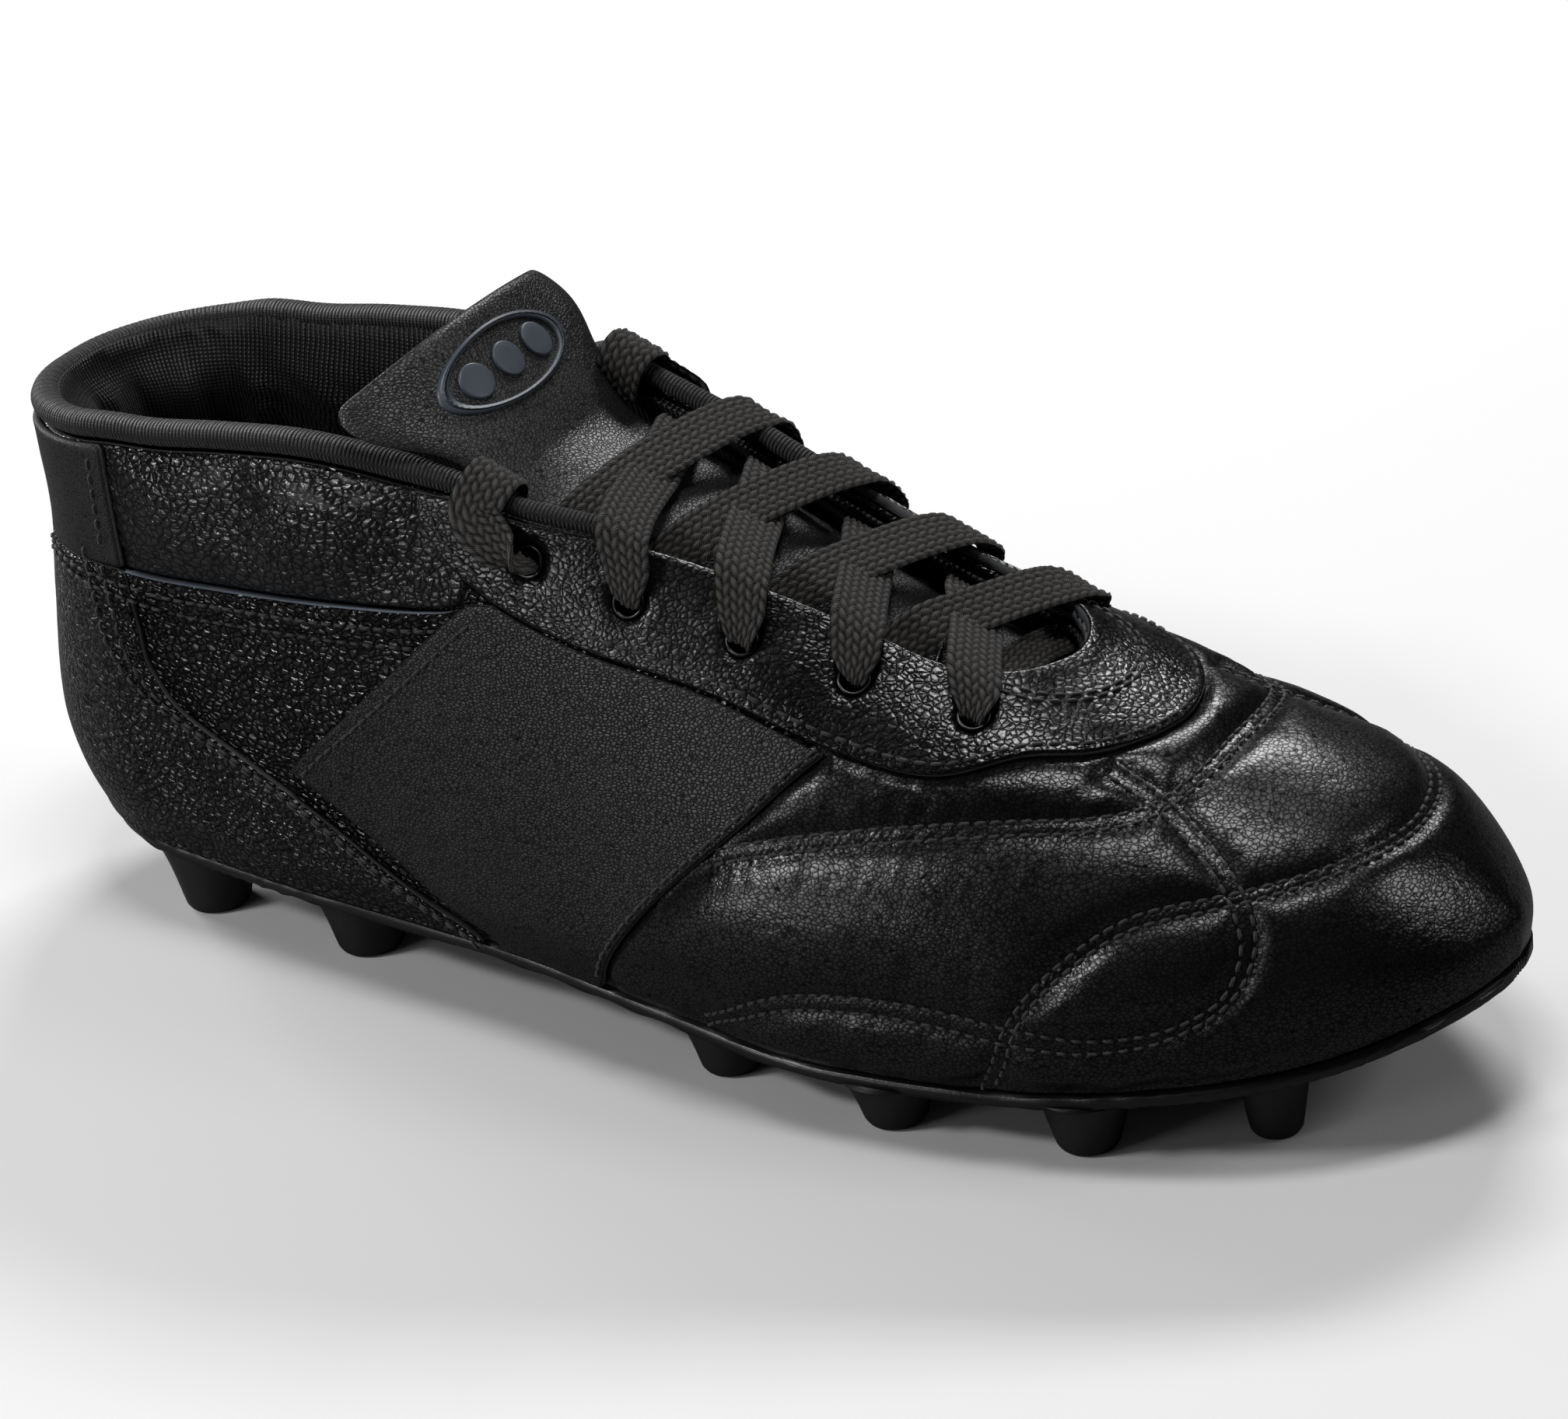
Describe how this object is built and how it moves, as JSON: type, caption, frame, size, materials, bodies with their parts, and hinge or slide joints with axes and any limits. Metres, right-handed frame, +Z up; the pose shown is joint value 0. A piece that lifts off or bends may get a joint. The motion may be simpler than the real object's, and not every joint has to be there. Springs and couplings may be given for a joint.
{
  "type": "soccer cleat",
  "caption": "Right-foot football boot with padded ankle collar, overlaid leather upper, flat laces through eyelets, lift-up tongue, removable insole and moulded conical studs.",
  "frame": {"origin": "on the ground the studs stand on, under the middle of the boot's bounding box", "axes": "+X from heel to toe, +Y to the inner (medial) side of the foot, +Z up from the ground the studs stand on"},
  "size_m": [0.2954, 0.097, 0.1246],
  "materials": {
    "grain_leather": "pebbled, semi-gloss",
    "smooth_leather": "fine grain, satin",
    "tongue_leather": "fine grain, matte",
    "foam": "open-cell padding",
    "stiffener": "thermoplastic sheet",
    "lining_textile": "ribbed textile, slight sheen",
    "knit": "ribbed knit, matte",
    "badge": "raised, satin",
    "plate": "moulded, glossy edge",
    "stud": "moulded, matte",
    "board": "fibre board",
    "eyelet_metal": "dark, with a thin bright edge",
    "lace": "flat woven, matte"
  },
  "bodies": {
    "boot": {"vamp": "grain_leather", "quarter_outer": "grain_leather", "collar_panel_outer": "grain_leather", "saddle_outer": "smooth_leather", "collar_foam_outer": "foam", "quarter_inner": "grain_leather", "collar_panel_inner": "grain_leather", "saddle_inner": "smooth_leather", "collar_foam_inner": "foam", "eyestay": "grain_leather", "counter_cover": "smooth_leather", "heel_tab": "smooth_leather", "heel_stiffener": "stiffener", "toe_puff": "stiffener", "lining": "lining_textile", "collar_binding": "knit", "tongue_lower": "tongue_leather", "outsole_plate": "plate", "stud_heel_outer_rear": "stud", "stud_heel_inner_rear": "stud", "stud_heel_outer_front": "stud", "stud_heel_inner_front": "stud", "stud_outer_1": "stud", "stud_outer_2": "stud", "stud_outer_3": "stud", "stud_outer_4": "stud", "stud_inner_1": "stud", "stud_inner_2": "stud", "stud_inner_3": "stud", "stud_inner_4": "stud", "lasting_board": "board", "eyelet_outer_1": "eyelet_metal", "eyelet_outer_2": "eyelet_metal", "eyelet_outer_3": "eyelet_metal", "eyelet_outer_4": "eyelet_metal", "eyelet_outer_5": "eyelet_metal", "eyelet_inner_1": "eyelet_metal", "eyelet_inner_2": "eyelet_metal", "eyelet_inner_3": "eyelet_metal", "eyelet_inner_4": "eyelet_metal", "eyelet_inner_5": "eyelet_metal", "lace": "lace"},
    "tongue_top": {"tongue_flap": "tongue_leather", "tongue_badge": "badge"},
    "footbed": {"insole": "lining_textile"}
  },
  "joints": [
    {"name": "tongue_fold", "type": "hinge", "parent": "boot", "child": "tongue_top", "pos_m": [-0.02637, -0.00087, 0.0987], "axis": [0, 1, 0], "range_deg": [-2, 50]},
    {"name": "insole_lift", "type": "hinge", "parent": "boot", "child": "footbed", "pos_m": [0.13883, -0.00087, 0.027], "axis": [0, 1, 0], "range_deg": [0, 7]}
  ]
}
